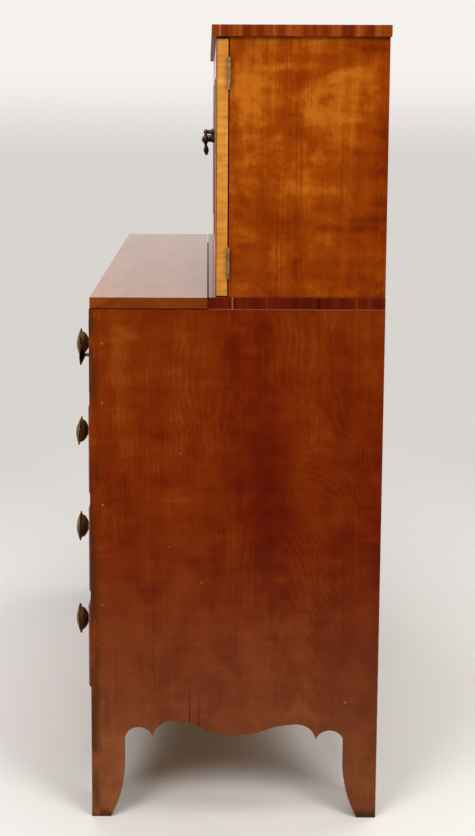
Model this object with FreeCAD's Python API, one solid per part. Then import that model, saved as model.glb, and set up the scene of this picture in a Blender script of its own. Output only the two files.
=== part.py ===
"""Two-part chest: four long drawers with a fold-out writing flap, under a set-back cupboard with two doors.

Units are millimetres. While modelling, x runs across the front with 0 on the centre line, y runs from the
front edge of the lower case towards the back, and z runs up from the floor. Every piece is moved by
origin_shift as it is saved, so that the origin lies under the middle of the bounding box.
"""

import FreeCAD
import Part
import math
import os

# Lower case
case_width = 1010.0
case_depth = 531.0
side_thickness = 20.0
housing_depth = 8.0
back_thickness = 12.0
back_rabbet = 10.0
lower_back_board_count = 3
bottom_thickness = 16.0
skirt_thickness = 20.0
skirt_rail_height = 56.0

# Feet and shaped lower edge
toe_width = 35.0
foot_width = 61.0
taper_height = 98.0
arch_spring_height = 149.5
small_arch_radius = 27.0
cusp_rise = 8.5
large_arch_radius = 36.0
large_arch_rise = 2.5
centre_rise = 11.5
rear_arch_drop = 5.0
foot_block_size = 32.0
rear_bracket_width = 96.0
rear_bracket_thickness = 16.0

# Drawers, counted from the top
drawer_1_height = 134.0
drawer_2_height = 167.0
drawer_3_height = 164.0
drawer_4_height = 162.0
drawer_1_proud = 2.5
drawer_2_proud = 5.0
drawer_3_proud = 5.5
drawer_4_proud = 7.0
drawer_back_space = 41.0
drawer_head_gap = 1.5
drawer_side_gap = 1.0
drawer_front_thickness = 21.0
drawer_side_thickness = 12.0
drawer_side_drop = 3.0
drawer_back_thickness = 11.0
drawer_back_drop = 9.0
drawer_back_housing = 5.0
drawer_back_inset = 14.0
drawer_bottom_thickness = 8.0
drawer_bottom_height = 9.0
drawer_groove = 5.0
moulding_width = 9.0
moulding_depth = 4.0
least_tail_count = 2
tail_length = 13.0
tail_pitch = 38.0
tail_gap = 9.0
tail_flare = 2.2

# Rails, runners and stops between the drawers
blade_thickness = 22.0
blade_depth = 60.0
runner_width = 28.0
stop_width = 40.0
stop_thickness = 6.0
stop_depth = 14.0
stop_inset = 90.0

# Writing flap and the lopers that carry it when it is open
flap_thickness = 21.0
flap_setback = 1.5
flap_gap = 2.5
flap_lift = 0.9
loper_width = 22.0
loper_back_space = 119.0
loper_proud = 2.5
loper_clearance = 0.5
partition_thickness = 14.0

# Upper case
upper_depth = 281.0
upper_side_height = 461.0
upper_side_thickness = 20.0
upper_bottom_thickness = 17.0
upper_back_board_count = 2
shelf_thickness = 14.0
shelf_height = 225.0
shelf_setback = 12.0
base_frame_height = 22.5
base_rail_depth = 42.5
base_strip_width = 46.0
base_inset = 1.0
base_ledge = 2.5
base_projection = 11.5
top_thickness = 20.5
top_side_overhang = 7.0
top_front_overhang = 8.0
top_back_overhang = 2.0
top_band_depth = 14.0

# Doors
door_thickness = 21.5
door_gap = 2.2
door_foot_gap = 2.0
door_head_gap = 3.5
door_meeting_gap = 2.0
stile_width = 62.0
rail_width = 62.0
tenon_length = 34.0
tenon_thickness = 7.0
tenon_shoulder = 12.0
panel_thickness = 8.0
panel_setback = 5.0
panel_groove = 9.0

# Hinges: butt hinges on the doors, flush hinges on the front edge of the flap
door_hinge_length = 57.0
door_hinge_inset = 60.0
door_leaf_width = 18.0
door_leaf_clearance = 0.2
door_knuckle_radius = 3.3
door_knuckle_standoff = 0.1
flap_hinge_length = 60.0
flap_hinge_inset = 125.0
flap_leaf_width = 28.0
flap_leaf_recess = 1.5
flap_leaf_clearance = 0.2
flap_knuckle_radius = 3.0
flap_axis_forward = 1.0
knuckle_count = 3
knuckle_clearance = 0.3
pin_radius = 1.4
pin_clearance = 0.05

# Drawer knobs: a pressed brass disc on a threaded post, with a nut inside the drawer
knob_inset = 135.0
knob_projection = 35.0
knob_rim_radius = 28.0
knob_rim_thickness = 1.4
knob_slope_height = 4.4
knob_boss_radius = 12.5
knob_boss_step = 0.9
knob_dome_height = 2.0
knob_bowl_radius = 22.5
knob_bowl_wall = 6.5
knob_shoulder_radius = 20.0
knob_bowl_depth = 14.3
knob_neck_radius = 7.0
knob_base_radius = 11.0
knob_base_thickness = 2.5
post_radius = 4.0
post_clearance = 0.1
nut_width = 13.0
nut_thickness = 4.0

# Small knobs of the lopers
loper_knob_radius = 19.0
loper_knob_projection = 18.0
loper_knob_crown = 2.0
loper_knob_rim = 1.0
loper_knob_cone = 7.0
loper_knob_cone_radius = 5.0
loper_knob_stem_radius = 3.2
loper_knob_tang = 16.0

# Brass-lined keyholes of the drawers
keyhole_radius = 3.2
keyhole_slot_width = 3.4
keyhole_liner = 1.6
keyhole_drop = 11.0
keyhole_depth = 6.0
keyhole_top_margin = 26.0

# Bail pulls of the doors, each on an oval plate
pull_inset = 31.0
pull_height_above_middle = 55.0
pull_post_spacing = 30.0
pull_plate_half_width = 26.0
pull_plate_half_height = 17.0
pull_plate_drop = 7.0
pull_plate_thickness = 1.6
pull_collar_radius = 5.0
pull_collar_thickness = 2.2
pull_collar_step = 1.2
pull_post_radius = 3.4
pull_pivot_reach = 18.5
pull_ball_radius = 5.0
bail_radius = 2.4
bail_clearance = 0.08
bail_drop = 47.0
bail_shoulder_radius = 5.0
bail_corner_radius = 13.0
bail_grip_radius = 4.6
bail_grip_length = 24.0
bail_grip_middle = 6.0
bail_bead_radius = 4.8
bail_bead_length = 14.0
bail_bead_middle = 3.0
bail_bead_drop = 13.5

# Heights, depths and half widths that follow from the sizes above
drawer_heights = [drawer_1_height, drawer_2_height, drawer_3_height, drawer_4_height]
drawer_prouds = [drawer_1_proud, drawer_2_proud, drawer_3_proud, drawer_4_proud]
drawer_count = len(drawer_heights)
blade_count = drawer_count - 1
base_height = arch_spring_height + large_arch_rise + large_arch_radius + skirt_rail_height
base_underside = base_height - bottom_thickness
bed_underside = (base_height + sum(drawer_heights) + drawer_count * drawer_head_gap
                 + blade_count * blade_thickness)
bed_height = bed_underside + flap_thickness
upper_floor = bed_height + base_frame_height
upper_ceiling = upper_floor + upper_side_height
total_height = upper_ceiling + top_thickness
door_low = upper_floor + door_foot_gap
door_high = upper_ceiling - door_head_gap

back_face = case_depth - back_thickness
drawer_depth = back_face - drawer_back_space
loper_length = back_face - loper_back_space
upper_front = case_depth - upper_depth
door_back = upper_front - door_gap
door_front = door_back - door_thickness
base_front = door_front - base_projection
flap_back = base_front - flap_gap
flap_underside = bed_height + flap_lift
flap_axis_z = bed_height + flap_lift / 2
top_front = door_front - top_front_overhang

half_width = case_width / 2
half_inner = half_width - side_thickness
half_housed = half_inner + housing_depth
half_base = half_width - base_inset
half_upper = half_base - base_ledge
half_upper_housed = half_upper - upper_side_thickness + housing_depth
half_top = half_upper + top_side_overhang
loper_outer = half_inner - loper_clearance
loper_inner = loper_outer - loper_width
partition_outer = loper_inner - loper_clearance
partition_inner = partition_outer - partition_thickness
knob_x = half_width - knob_inset

door_axis_x = half_upper + door_knuckle_standoff + door_knuckle_radius
door_axis_y = (door_back + upper_front) / 2
pull_x = door_meeting_gap / 2 + pull_inset
pull_pivot_y = door_front - pull_pivot_reach
pull_pivot_z = (door_low + door_high) / 2 + pull_height_above_middle

front_reach = max(drawer_prouds) + knob_projection
back_reach = case_depth + top_back_overhang
origin_shift = (front_reach - back_reach) / 2

ACROSS = FreeCAD.Vector(1, 0, 0)
BACKWARD = FreeCAD.Vector(0, 1, 0)
FORWARD = FreeCAD.Vector(0, -1, 0)
UP = FreeCAD.Vector(0, 0, 1)
CENTRE = FreeCAD.Vector(0, 0, 0)


# Shared ways of making a solid

def point(x, y, z):
    return FreeCAD.Vector(x, y, z)


def save(name, *solids):
    """Writes one node, moved so that the origin lies under the middle of the whole object."""
    shape = solids[0].copy() if len(solids) == 1 else Part.makeCompound(list(solids))
    shape.translate(BACKWARD * origin_shift)
    shape.exportStep("parts/%s.step" % name)


def block(x, y, z):
    """A rectangular solid from its limits along each axis."""
    return Part.makeBox(x[1] - x[0], y[1] - y[0], z[1] - z[0], point(x[0], y[0], z[0]))


def rod(start, direction, radius, length):
    return Part.makeCylinder(radius, length, start, direction)


def mirrored(shape):
    """The same piece for the other hand, mirrored across the centre line."""
    return shape.mirror(CENTRE, ACROSS)


def pair(right):
    return [right, mirrored(right)]


def outline_edges(start, segments, place):
    """Edges through flat points. Each segment is (middle of an arc or None, end); place lifts one."""
    edges = []
    here = start
    for middle, end in segments:
        if middle is None:
            edges.append(Part.makeLine(place(here), place(end)))
        else:
            edges.append(Part.Arc(place(here), place(middle), place(end)).toShape())
        here = end
    return edges


def board(start, segments, place, thickness):
    """A flat outline thickened into a board."""
    return Part.Face(Part.Wire(outline_edges(start, segments, place))).extrude(thickness)


def arc_on_axis(start, end):
    """Middle of the arc between two (distance along the axis, radius) points that is centred on the axis."""
    centre = (end[0] ** 2 + end[1] ** 2 - start[0] ** 2 - start[1] ** 2) / (2 * (end[0] - start[0]))
    radius = math.hypot(start[0] - centre, start[1])
    angle = (math.atan2(start[1], start[0] - centre) + math.atan2(end[1], end[0] - centre)) / 2
    return centre + radius * math.cos(angle), radius * math.sin(angle)


def turned(profile, seat, direction):
    """A turned solid on an axis. The profile lists (distance along the axis, radius, rounded or straight)."""
    start = (profile[0][0], 0.0)
    segments = []
    here = start
    for along, radius, rounded in profile:
        end = (along, radius)
        segments.append((arc_on_axis(here, end) if rounded else None, end))
        here = end
    if here[1] > 0:
        segments.append((None, (here[0], 0.0)))
    segments.append((None, start))
    face = Part.Face(Part.Wire(outline_edges(start, segments, lambda p: point(p[1], 0, p[0]))))
    solid = face.revolve(CENTRE, UP, 360)
    solid.Placement = FreeCAD.Placement(seat, FreeCAD.Rotation(UP, direction))
    return solid


def upright_arc(foot, head):
    """Middle of an arc that climbs from foot and ends upright at head."""
    lean = head[0] - foot[0]
    rise = head[1] - foot[1]
    radius = (lean ** 2 + rise ** 2) / (2 * abs(lean))
    half_angle = math.atan2(abs(rise), radius - abs(lean)) / 2
    return (head[0] - math.copysign(radius * (1 - math.cos(half_angle)), lean),
            head[1] - math.copysign(radius * math.sin(half_angle), rise))


# Feet and lower edge

def lower_edge(span, outer, drop):
    """Half of the shaped lower edge, from the outside of a foot to the middle of the case.

    Distances run inwards from the outside of the case. The board begins at outer, and its arches are
    lowered by drop. Returns the start point and the segments.
    """
    spring = arch_spring_height - drop
    toe = (toe_width, 0.0)
    ankle = (foot_width, taper_height)
    small_centre = foot_width + small_arch_radius
    small_top = (small_centre, spring + small_arch_radius)
    cusp = (small_centre + math.sqrt(small_arch_radius ** 2 - cusp_rise ** 2), spring + cusp_rise)

    cusp_above = cusp_rise - large_arch_rise
    large_spring = spring + large_arch_rise
    large_centre = cusp[0] + math.sqrt(large_arch_radius ** 2 - cusp_above ** 2)
    peak = (large_centre, large_spring + large_arch_radius)
    climb = (3 * math.pi / 2 - math.asin(cusp_above / large_arch_radius)) / 2
    shoulder = (large_centre + large_arch_radius * math.cos(climb),
                large_spring + large_arch_radius * math.sin(climb))

    middle = (span, arch_spring_height + centre_rise)
    turn = ((peak[0] + middle[0]) / 2, (peak[1] + middle[1]) / 2)
    run = middle[0] - peak[0]
    fall = peak[1] - middle[1]
    slope = math.atan2(fall, run)
    ogee_radius = (run ** 2 + fall ** 2) / (4 * fall)
    along = ogee_radius * math.sin(slope)
    below = ogee_radius * (1 - math.cos(slope))
    segments = [
        (None, toe),
        (upright_arc(toe, ankle), ankle),
        (None, (foot_width, spring)),
        (small_top, cusp),
        (shoulder, peak),
        ((peak[0] + along, peak[1] - below), turn),
        ((middle[0] - along, middle[1] + below), middle),
    ]
    return (outer, 0.0), segments


def opposite(start, segments, total):
    """The same half edge at the other end: mirrored, and walked from the middle to the outside."""
    ends = [start] + [end for _, end in segments]
    back = []
    for index in reversed(range(len(segments))):
        middle = segments[index][0]
        flipped = middle and (total - middle[0], middle[1])
        back.append((flipped, (total - ends[index][0], ends[index][1])))
    return back


# Lower case

def drawer_floor(index):
    """Height of the surface that a drawer runs on; drawer 0 is the top one."""
    below = drawer_heights[index + 1:]
    return base_height + sum(below) + len(below) * (drawer_head_gap + blade_thickness)


def blade_levels():
    """Bottom and top of each rail between two drawers, from the top one down."""
    return [(drawer_floor(index) - blade_thickness, drawer_floor(index)) for index in range(blade_count)]


def bottom_board():
    return block((-half_housed, half_housed), (skirt_thickness, back_face), (base_underside, base_height))


def blades():
    return [block((-half_housed, half_housed), (0, blade_depth), level) for level in blade_levels()]


def plain_bed():
    return block((-half_housed, half_housed), (0, case_depth), (bed_underside, bed_height))


def backboards(count, half, low, high):
    """Level boards of equal height that close a back between its two side rabbets."""
    height = (high - low) / count
    return [block((-half, half), (back_face, case_depth), (low + step * height, low + (step + 1) * height))
            for step in range(count)]


def lower_backboards():
    return backboards(lower_back_board_count, half_inner + back_rabbet, base_underside, bed_underside)


def lower_side():
    """The right-hand side: one board with its two feet, housed for every board that meets it."""
    start, front_half = lower_edge(case_depth / 2, 0.0, 0.0)
    rear_half = opposite(*lower_edge(case_depth / 2, 0.0, rear_arch_drop), case_depth)
    upper_corners = [(None, (case_depth, bed_height)), (None, (0.0, bed_height)), (None, start)]
    side = board(start, front_half + rear_half + upper_corners, lambda p: point(half_inner, p[0], p[1]),
                 ACROSS * side_thickness)
    for neighbour in [bottom_board(), plain_bed()] + blades() + lower_backboards():
        side = side.cut(neighbour)
    return side


def front_skirt():
    """The shaped board across the front, with the inner half of each front foot."""
    start, left_half = lower_edge(half_width, side_thickness, 0.0)
    right_half = opposite(start, left_half, case_width)
    upper_corners = [(None, (case_width - side_thickness, base_height)),
                     (None, (side_thickness, base_height)), (None, start)]
    return board(start, left_half + right_half + upper_corners, lambda p: point(p[0] - half_width, 0, p[1]),
                 BACKWARD * skirt_thickness)


def runners():
    """A pair of runners behind every rail. The top pair also carries the lopers and their partitions."""
    solids = []
    for index, level in enumerate(blade_levels()):
        beside = partition_inner if index == 0 else half_inner
        solids += pair(block((beside - runner_width, half_inner), (blade_depth, back_face), level))
    return solids


def loper_partitions():
    return pair(block((partition_inner, partition_outer), (0, back_face), (drawer_floor(0), bed_underside)))


def drawer_stops():
    """Blocks that the back of each drawer front closes against."""
    solids = []
    for index in range(drawer_count):
        drawer = Drawer(index)
        outer = drawer.half - stop_inset
        solids += pair(block((outer - stop_width, outer), (drawer.front_back, drawer.front_back + stop_depth),
                             (drawer.floor, drawer.floor + stop_thickness)))
    return solids


def foot_blocks():
    """Upright glue blocks in the four corners, from the bottom board down into the feet."""
    across = (half_inner - foot_block_size, half_inner)
    rear_face = case_depth - rear_bracket_thickness
    height = (taper_height, base_underside)
    front = block(across, (skirt_thickness, skirt_thickness + foot_block_size), height)
    rear = block(across, (rear_face - foot_block_size, rear_face), height)
    return pair(front) + pair(rear)


def rear_brackets():
    """Brackets that stiffen the rear feet, hollowed towards the middle of the case."""
    start = (0.0, 0.0)
    ankle = (toe_width, taper_height)
    tip = (rear_bracket_width, base_underside)
    segments = [
        (None, (toe_width, 0.0)),
        (None, ankle),
        (upright_arc(tip, ankle), tip),
        (None, (0.0, base_underside)),
        (None, start),
    ]
    face = case_depth - rear_bracket_thickness
    return pair(board(start, segments, lambda p: point(half_inner - p[0], face, p[1]),
                      BACKWARD * rear_bracket_thickness))


# Hinges

def hinge_leaf(plate, start, along, length, radius, own):
    """Joins a plate to its own knuckles and clears room for those of the other leaf."""
    step = length / knuckle_count
    end_gap = along * (knuckle_clearance / 2)
    for number in range(knuckle_count):
        place = start + along * (number * step)
        if number % 2 == own:
            plate = plate.fuse(rod(place + end_gap, along, radius, step - knuckle_clearance))
        else:
            plate = plate.cut(rod(place, along, radius + knuckle_clearance, step))
    return plate.cut(rod(start, along, pin_radius + pin_clearance, length)).removeSplitter()


def flap_hinge(place):
    """Bed leaf, flap leaf, pin and the cut that lets one hinge into the bed and the flap."""
    left = place - flap_hinge_length / 2
    across = (left, left + flap_hinge_length)
    depth = (-flap_axis_forward, flap_leaf_width)
    low = flap_axis_z - flap_leaf_recess
    high = flap_axis_z + flap_leaf_recess
    gap = flap_leaf_clearance / 2
    axis = point(left, -flap_axis_forward, flap_axis_z)
    size = (axis, ACROSS, flap_hinge_length, flap_knuckle_radius)
    lower_plate = block(across, depth, (low, flap_axis_z - gap))
    upper_plate = block(across, depth, (flap_axis_z + gap, high))
    pin = rod(axis, ACROSS, pin_radius, flap_hinge_length)
    knuckle_room = rod(axis, ACROSS, flap_knuckle_radius + knuckle_clearance, flap_hinge_length)
    leaf_room = block(across, depth, (low, high))
    bed_leaf = hinge_leaf(lower_plate, *size, 0)
    flap_leaf = hinge_leaf(upper_plate, *size, 1)
    return bed_leaf, flap_leaf, pin, knuckle_room.fuse(leaf_room)


def door_hinge(level):
    """Case leaf, door leaf and pin of one right-hand butt hinge, centred at a height."""
    low = level - door_hinge_length / 2
    across = (half_upper - door_leaf_width, door_axis_x)
    height = (low, low + door_hinge_length)
    gap = door_leaf_clearance / 2
    axis = point(door_axis_x, door_axis_y, low)
    size = (axis, UP, door_hinge_length, door_knuckle_radius)
    case_plate = block(across, (door_axis_y + gap, upper_front), height)
    door_plate = block(across, (door_back, door_axis_y - gap), height)
    pin = rod(axis, UP, pin_radius, door_hinge_length)
    case_leaf = hinge_leaf(case_plate, *size, 0)
    door_leaf = hinge_leaf(door_plate, *size, 1)
    return case_leaf, door_leaf, pin


# Writing flap and lopers

def plain_flap():
    return block((-half_width, half_width), (flap_setback, flap_back),
                 (flap_underside, flap_underside + flap_thickness))


def loper_knob_seat():
    return point((loper_inner + loper_outer) / 2, -loper_proud, drawer_floor(0) + drawer_1_height / 2)


def loper():
    """The right-hand loper, a tall plank bored in its front end for the tang of its knob."""
    plank = block((loper_inner, loper_outer), (-loper_proud, loper_length - loper_proud),
                  (drawer_floor(0), bed_underside - loper_clearance))
    bore = loper_knob_stem_radius + post_clearance
    return plank.cut(rod(loper_knob_seat(), BACKWARD, bore, loper_knob_tang))


def loper_knob():
    """A small turned knob: thin stem, coned back, sharp rim and a low crown."""
    rim_front = loper_knob_projection - loper_knob_crown
    rim_back = rim_front - loper_knob_rim
    cone_start = rim_back - loper_knob_cone
    profile = [
        (-loper_knob_tang, loper_knob_stem_radius, False),
        (cone_start, loper_knob_stem_radius, False),
        (cone_start, loper_knob_cone_radius, False),
        (rim_back, loper_knob_radius, False),
        (rim_front, loper_knob_radius, False),
        (loper_knob_projection, 0.0, True),
    ]
    return turned(profile, loper_knob_seat(), FORWARD)


# Drawers

class Drawer:
    """The pieces of one drawer and the sizes that they share. Drawer 0 is the top one."""

    def __init__(self, index):
        self.floor = drawer_floor(index)
        self.height = drawer_heights[index]
        opening = partition_inner if index == 0 else half_inner
        self.half = opening - drawer_side_gap
        self.inner = self.half - drawer_side_thickness
        self.face = -drawer_prouds[index]
        self.front_back = self.face + drawer_front_thickness
        self.end = self.face + drawer_depth
        self.panel_top = self.floor + drawer_bottom_height + drawer_bottom_thickness
        self.side_top = self.floor + self.height - drawer_side_drop
        self.knob_seats = [point(x, self.face, self.floor + self.height / 2) for x in (-knob_x, knob_x)]

    def bottom(self):
        reach = self.inner + drawer_groove
        return block((-reach, reach), (self.front_back - drawer_groove, self.end),
                     (self.floor + drawer_bottom_height, self.panel_top))

    def back(self):
        reach = self.inner + drawer_back_housing
        rear = self.end - drawer_back_inset
        return block((-reach, reach), (rear - drawer_back_thickness, rear),
                     (self.panel_top, self.side_top - drawer_back_drop))

    def tails(self):
        """The dovetails at the front end of the right-hand side."""
        height = self.side_top - self.floor
        count = max(least_tail_count, round(height / tail_pitch))
        pitch = height / count
        tip = self.front_back - tail_length
        prisms = []
        for step in range(count):
            low = self.floor + step * pitch + tail_gap / 2
            high = self.floor + (step + 1) * pitch - tail_gap / 2
            start = (self.front_back, low + tail_flare)
            segments = [
                (None, (self.front_back, high - tail_flare)),
                (None, (tip, high)),
                (None, (tip, low)),
                (None, start),
            ]
            prisms.append(board(start, segments, lambda p: point(self.inner, p[0], p[1]),
                                ACROSS * drawer_side_thickness))
        return prisms

    def sides(self):
        side = block((self.inner, self.half), (self.front_back, self.end), (self.floor, self.side_top))
        side = side.fuse(self.tails()).removeSplitter()
        return pair(side.cut(self.bottom()).cut(self.back()))

    def rounded_profile(self, low, high, low_rounded):
        """Section of the front board as (depth, distance along): rounded at high, and at low if asked."""
        shoulder = self.face + moulding_depth
        start = (self.front_back, low)
        low_edge = (self.face, low + moulding_width)
        high_edge = (self.face, high - moulding_width)
        if low_rounded:
            segments = [(None, (shoulder, low)), (upright_arc((shoulder, low), low_edge), low_edge)]
        else:
            segments = [(None, (self.face, low))]
        segments += [
            (None, high_edge),
            (upright_arc((shoulder, high), high_edge), (shoulder, high)),
            (None, (self.front_back, high)),
            (None, start),
        ]
        return start, segments

    def moulded_board(self):
        """The front board, rounded along its top and both ends and left square at the bottom."""
        upright = board(*self.rounded_profile(self.floor, self.floor + self.height, False),
                        lambda p: point(-self.half, p[0], p[1]), ACROSS * (2 * self.half))
        level = board(*self.rounded_profile(-self.half, self.half, True),
                      lambda p: point(p[1], p[0], self.floor), UP * self.height)
        return upright.common(level)

    def front(self):
        front = self.moulded_board()
        for tail in self.tails():
            front = front.cut(tail).cut(mirrored(tail))
        for seat in self.knob_seats:
            front = front.cut(rod(seat, BACKWARD, post_radius + post_clearance, drawer_front_thickness))
        return front.cut(self.bottom()).cut(self.keyhole(keyhole_liner))

    def keyhole(self, margin):
        """A keyhole-shaped plug, larger all round by a margin: a round eye over a straight slot."""
        eye = self.floor + self.height - keyhole_top_margin
        half_slot = keyhole_slot_width / 2 + margin
        slot = block((-half_slot, half_slot), (self.face, self.face + keyhole_depth),
                     (eye - keyhole_drop - margin, eye))
        hole = rod(point(0, self.face, eye), BACKWARD, keyhole_radius + margin, keyhole_depth)
        return hole.fuse(slot).removeSplitter()

    def knob(self, seat):
        """A round pressed knob: base ring, neck, bowl-shaped back, thin rim, sloping face and domed boss."""
        boss_front = knob_projection - knob_dome_height
        boss_back = boss_front - knob_boss_step
        rim_front = boss_back - knob_slope_height
        rim_back = rim_front - knob_rim_thickness
        shoulder = rim_back - knob_bowl_wall
        bowl_start = rim_back - knob_bowl_depth
        post_end = seat.y - self.front_back - nut_thickness
        profile = [
            (post_end, post_radius, False),
            (0.0, post_radius, False),
            (0.0, knob_base_radius, False),
            (knob_base_thickness, knob_base_radius, False),
            (knob_base_thickness, knob_neck_radius, False),
            (bowl_start, knob_neck_radius, False),
            (shoulder, knob_shoulder_radius, True),
            (rim_back, knob_bowl_radius, False),
            (rim_back, knob_rim_radius, False),
            (rim_front, knob_rim_radius, False),
            (boss_back, knob_boss_radius, False),
            (boss_front, knob_boss_radius, False),
            (knob_projection, 0.0, True),
        ]
        return turned(profile, seat, FORWARD)

    def nut(self, seat):
        half = nut_width / 2
        square = block((seat.x - half, seat.x + half), (self.front_back, self.front_back + nut_thickness),
                       (seat.z - half, seat.z + half))
        length = drawer_front_thickness + nut_thickness
        return square.cut(rod(seat, BACKWARD, post_radius + post_clearance, length))

    def brasses(self):
        liner = self.keyhole(keyhole_liner).cut(self.keyhole(0.0))
        return [make(seat) for seat in self.knob_seats for make in (self.knob, self.nut)] + [liner]


# Upper case

def upper_bottom():
    return block((-half_upper_housed, half_upper_housed), (upper_front, back_face),
                 (upper_floor, upper_floor + upper_bottom_thickness))


def upper_shelf():
    low = upper_floor + shelf_height
    return block((-half_upper_housed, half_upper_housed), (upper_front + shelf_setback, back_face),
                 (low, low + shelf_thickness))


def upper_backboards():
    half = half_upper - upper_side_thickness + back_rabbet
    return backboards(upper_back_board_count, half, upper_floor, upper_ceiling)


def upper_side():
    side = block((half_upper - upper_side_thickness, half_upper), (upper_front, case_depth),
                 (upper_floor, upper_ceiling))
    for neighbour in [upper_bottom(), upper_shelf()] + upper_backboards():
        side = side.cut(neighbour)
    return side


def base_frame():
    """The frame that the upper case stands on: front rail, two side strips and a rear rail between them."""
    height = (bed_height, upper_floor)
    strip_inner = half_base - base_strip_width
    front_rail = block((-half_base, half_base), (base_front, base_front + base_rail_depth), height)
    strip = block((strip_inner, half_base), (base_front + base_rail_depth, case_depth), height)
    rear_rail = block((-strip_inner, strip_inner), (case_depth - base_strip_width, case_depth), height)
    return [front_rail] + pair(strip) + [rear_rail]


def upper_top():
    return block((-half_top, half_top), (top_front + top_band_depth, case_depth + top_back_overhang),
                 (upper_ceiling, total_height))


def top_front_band():
    return block((-half_top, half_top), (top_front, top_front + top_band_depth),
                 (upper_ceiling, total_height))


# Doors

def door_frame():
    """Stiles, rails and panel of the right-hand door, mortised, tenoned and grooved together."""
    meeting = door_meeting_gap / 2
    opening = (meeting + stile_width, half_upper - stile_width)
    panel_face = door_front + panel_setback
    panel = block((opening[0] - panel_groove, opening[1] + panel_groove),
                  (panel_face, panel_face + panel_thickness),
                  (door_low + rail_width - panel_groove, door_high - rail_width + panel_groove))
    tenon_face = door_front + (door_thickness - tenon_thickness) / 2
    rails = []
    for low in (door_low, door_high - rail_width):
        rail = block(opening, (door_front, door_back), (low, low + rail_width))
        tenons = block((opening[0] - tenon_length, opening[1] + tenon_length),
                       (tenon_face, tenon_face + tenon_thickness),
                       (low + tenon_shoulder, low + rail_width - tenon_shoulder))
        rails.append(rail.fuse(tenons).removeSplitter().cut(panel))
    stiles = []
    for across in ((meeting, opening[0]), (opening[1], half_upper)):
        stile = block(across, (door_front, door_back), (door_low, door_high)).cut(panel)
        for rail in rails:
            stile = stile.cut(rail)
        stiles.append(stile)
    return stiles, rails, panel


def pull_plate():
    """The oval plate behind a right-hand pull, hanging lower than the posts."""
    centre = point(pull_x, door_front, pull_pivot_z - pull_plate_drop)
    shorter, longer = sorted((ACROSS * pull_plate_half_width, UP * pull_plate_half_height),
                             key=lambda axis: axis.Length)
    oval = Part.Ellipse(centre + longer, centre + shorter, centre).toShape()
    return Part.Face(Part.Wire([oval])).extrude(FORWARD * pull_plate_thickness)


def pull_posts():
    """The two fixed posts of a right-hand pull, each with a collar and a ball bored for the bail."""
    bore = bail_radius + bail_clearance
    ball_start = pull_pivot_reach - math.sqrt(pull_ball_radius ** 2 - pull_post_radius ** 2)
    collar_front = pull_plate_thickness + pull_collar_thickness
    profile = [
        (pull_plate_thickness, pull_collar_radius, False),
        (collar_front, pull_collar_radius - pull_collar_step, False),
        (collar_front, pull_post_radius, False),
        (ball_start, pull_post_radius, False),
        (pull_pivot_reach + pull_ball_radius, 0.0, True),
    ]
    posts = []
    for x in (pull_x - pull_post_spacing / 2, pull_x + pull_post_spacing / 2):
        pivot = point(x, pull_pivot_y, pull_pivot_z)
        post = turned(profile, point(x, door_front, pull_pivot_z), FORWARD)
        posts.append(post.cut(rod(pivot - ACROSS * pull_ball_radius, ACROSS, bore, 2 * pull_ball_radius)))
    return posts


def bent_path(corners, radii):
    """A wire path through right-angled corners, each rounded to its radius."""
    edges = []
    here = corners[0]
    for before, corner, after, radius in zip(corners, corners[1:], corners[2:], radii):
        into = (corner - before).normalize()
        out = (after - corner).normalize()
        start = corner - into * radius
        middle = corner + (out - into) * (radius * (1 - math.sqrt(0.5)))
        end = corner + out * radius
        edges.append(Part.makeLine(here, start))
        edges.append(Part.Arc(start, middle, end).toShape())
        here = end
    edges.append(Part.makeLine(here, corners[-1]))
    return Part.Wire(edges)


def swelling(middle, direction, radius, length, flat):
    """A turned swelling of the bail's wire, tapering from a flat middle down to the wire at both ends."""
    profile = [
        (-length / 2, bail_radius, False),
        (-flat / 2, radius, False),
        (flat / 2, radius, False),
        (length / 2, bail_radius, False),
    ]
    return turned(profile, middle, direction)


def bail():
    """The swinging bail of a right-hand pull: pivots through both posts, two beaded arms and a grip."""
    pivot_end = pull_post_spacing / 2 - pull_ball_radius
    arm = pull_post_spacing / 2 + pull_ball_radius + bail_shoulder_radius
    middle = point(pull_x, pull_pivot_y, pull_pivot_z)
    flat = [(-pivot_end, 0), (-arm, 0), (-arm, -bail_drop), (arm, -bail_drop), (arm, 0), (pivot_end, 0)]
    corners = [middle + ACROSS * x + UP * z for x, z in flat]
    path = bent_path(corners, [bail_shoulder_radius, bail_corner_radius,
                               bail_corner_radius, bail_shoulder_radius])
    section = Part.Wire([Part.makeCircle(bail_radius, corners[0], ACROSS)])
    wire = path.makePipeShell([section], True, False)
    grip = swelling(middle - UP * bail_drop, ACROSS, bail_grip_radius, bail_grip_length, bail_grip_middle)
    beads = [swelling(middle + ACROSS * x - UP * bail_bead_drop, UP, bail_bead_radius, bail_bead_length,
                      bail_bead_middle) for x in (-arm, arm)]
    return wire.fuse([grip] + beads).removeSplitter()


# Saving every node

def save_both(name, right):
    """One node for each hand of a piece or group that is modelled for the right."""
    group = right if isinstance(right, list) else [right]
    save(name.format("right"), *group)
    save(name.format("left"), *[mirrored(solid) for solid in group])


def save_lower_case():
    save_both("lower_side_{}", lower_side())
    save("lower_backboards", *lower_backboards())
    save("bottom_board", bottom_board())
    save("front_skirt", front_skirt())
    save("drawer_blades", *blades())
    save("drawer_runners", *runners())
    save("drawer_stops", *drawer_stops())
    save("loper_partitions", *loper_partitions())
    save("foot_blocks", *foot_blocks())
    save("rear_brackets", *rear_brackets())


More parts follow.
